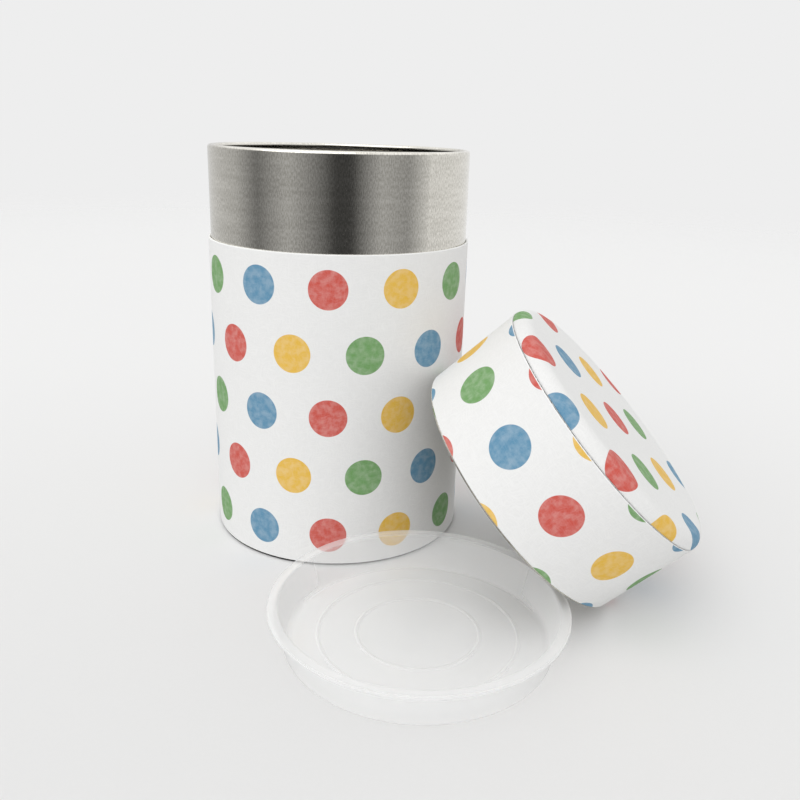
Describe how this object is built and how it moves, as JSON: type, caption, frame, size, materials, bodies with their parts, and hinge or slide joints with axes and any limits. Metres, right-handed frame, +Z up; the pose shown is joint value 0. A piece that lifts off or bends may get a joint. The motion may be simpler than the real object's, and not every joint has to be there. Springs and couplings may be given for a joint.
{
  "type": "tea caddy",
  "caption": "Round tinplate tea caddy wrapped in printed paper, with a bare steel neck, a papered slip-on cap leaning on it and a plastic inner lid beside it.",
  "frame": {"origin": "centre of the can's base, on the floor it stands on", "axes": "+Z up along the can and its neck, +X towards the side the cap leans on, +Y away from the inner lid"},
  "size_m": [0.143, 0.1499, 0.1173],
  "materials": {
    "tinplate": "brushed tinplate, satin",
    "printed_paper": "matt paper with a plain print of coloured dots",
    "milky_plastic": "translucent milky polypropylene, soft gloss"
  },
  "bodies": {
    "can": {"body_shell": "tinplate", "base_plate": "tinplate", "neck_sleeve": "tinplate", "body_paper": "printed_paper"},
    "cap": {"cap_band": "tinplate", "cap_top_plate": "tinplate", "cap_side_paper": "printed_paper", "cap_top_paper": "printed_paper"},
    "inner_lid": {"inner_lid": "milky_plastic"}
  },
  "joints": [
    {"name": "cap_pull", "type": "slide", "parent": "can", "child": "cap", "axis": [0.7144, -0.1324, 0.6871], "range_m": [0, 0.03]},
    {"name": "inner_lid_lift", "type": "slide", "parent": "can", "child": "inner_lid", "axis": [-0.6, -0.6, 0.5292], "range_m": [0, 0.02]}
  ]
}
